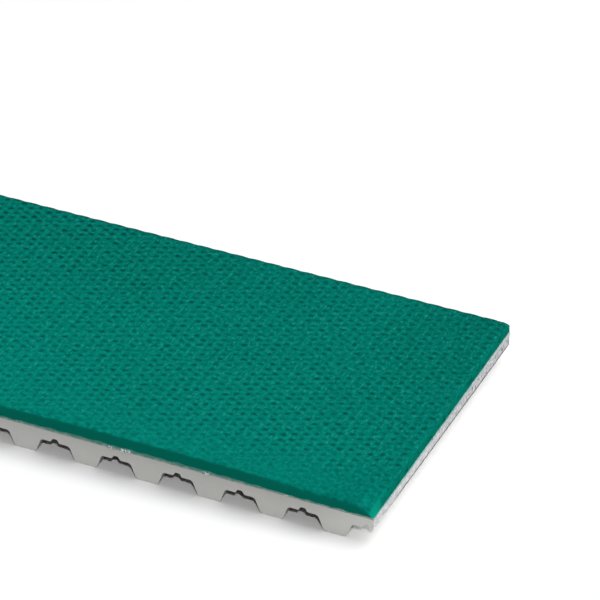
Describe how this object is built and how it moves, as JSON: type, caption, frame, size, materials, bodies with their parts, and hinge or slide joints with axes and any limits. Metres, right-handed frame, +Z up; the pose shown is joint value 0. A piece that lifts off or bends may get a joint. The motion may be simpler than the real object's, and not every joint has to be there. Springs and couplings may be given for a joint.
{
  "type": "coated timing belt",
  "caption": "Straight length of toothed polyurethane drive belt with steel tension cords and a bonded green carrying cover of woven texture, cut square at both ends.",
  "frame": {"origin": "middle of the belt's footprint, on the plane of the tooth tips", "axes": "+X along the belt's length towards the cut end that the picture shows, +Y across its width, +Z up from the teeth to the cover"},
  "size_m": [0.12, 0.05, 0.0066],
  "materials": {
    "polyurethane": "satin cast polyurethane, pale grey",
    "bond_adhesive": "satin clear-white adhesive",
    "green_cover": "matt green elastomer with woven impression",
    "steel_cord": "galvanised stranded wire"
  },
  "bodies": {
    "root": {"belt_back": "polyurethane", "bond_film": "bond_adhesive", "cover": "green_cover", "tooth_01": "polyurethane", "tooth_02": "polyurethane", "tooth_03": "polyurethane", "tooth_04": "polyurethane", "tooth_05": "polyurethane", "tooth_06": "polyurethane", "tooth_07": "polyurethane", "tooth_08": "polyurethane", "tooth_09": "polyurethane", "tooth_10": "polyurethane", "tooth_11": "polyurethane", "tooth_12": "polyurethane", "cord_01": "steel_cord", "cord_02": "steel_cord", "cord_03": "steel_cord", "cord_04": "steel_cord", "cord_05": "steel_cord", "cord_06": "steel_cord", "cord_07": "steel_cord", "cord_08": "steel_cord", "cord_09": "steel_cord", "cord_10": "steel_cord", "cord_11": "steel_cord", "cord_12": "steel_cord", "cord_13": "steel_cord", "cord_14": "steel_cord", "cord_15": "steel_cord", "cord_16": "steel_cord", "cord_17": "steel_cord", "cord_18": "steel_cord", "cord_19": "steel_cord", "cord_20": "steel_cord", "cord_21": "steel_cord", "cord_22": "steel_cord"}
  },
  "joints": []
}
